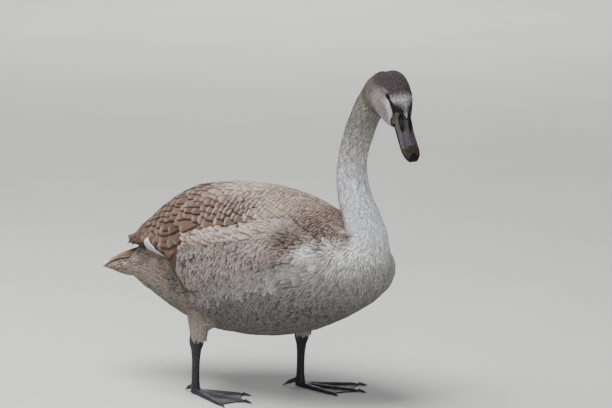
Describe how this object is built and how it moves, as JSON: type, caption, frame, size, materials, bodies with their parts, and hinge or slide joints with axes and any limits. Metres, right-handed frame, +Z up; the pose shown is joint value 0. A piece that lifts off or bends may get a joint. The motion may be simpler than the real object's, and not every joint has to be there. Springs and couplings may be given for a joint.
{
  "type": "standing young mute swan model",
  "caption": "Life-size standing young swan in first-autumn plumage: long curved neck, down-turned head and bill, folded wings, short tail and webbed feet, for display.",
  "frame": {"origin": "on the floor, under the middle of the whole bird's box", "axes": "+X the way the body faces, +Y the bird's left, +Z up; the head is turned to the bird's right"},
  "size_m": [0.7136, 0.3076, 0.634],
  "materials": {
    "pale_plumage": "soft feathered, whitish grey with a faint brown mottle",
    "brown_plumage": "soft feathered, grey-brown with pale fringes",
    "head_plumage": "short velvety feathers, mouse grey-brown",
    "bill_horn": "satin horn, lilac grey with dark edges and nail",
    "leg_skin": "scaled skin, slate black",
    "eye_gloss": "wet gloss, near black",
    "claw_horn": "satin horn, black"
  },
  "bodies": {
    "root": {"trunk": "pale_plumage", "tail": "brown_plumage", "neck_lower": "pale_plumage", "neck_upper": "pale_plumage", "head": "head_plumage", "bill_upper": "bill_horn", "bill_lower": "bill_horn", "eye_right": "eye_gloss", "wing_right": "brown_plumage", "wingtip_right": "brown_plumage", "thigh_right": "pale_plumage", "shank_right": "leg_skin", "foot_right": "leg_skin", "claw_right_inner": "claw_horn", "claw_right_middle": "claw_horn", "claw_right_outer": "claw_horn", "claw_right_hind": "claw_horn", "eye_left": "eye_gloss", "wing_left": "brown_plumage", "wingtip_left": "brown_plumage", "thigh_left": "pale_plumage", "shank_left": "leg_skin", "foot_left": "leg_skin", "claw_left_inner": "claw_horn", "claw_left_middle": "claw_horn", "claw_left_outer": "claw_horn", "claw_left_hind": "claw_horn"}
  },
  "joints": []
}
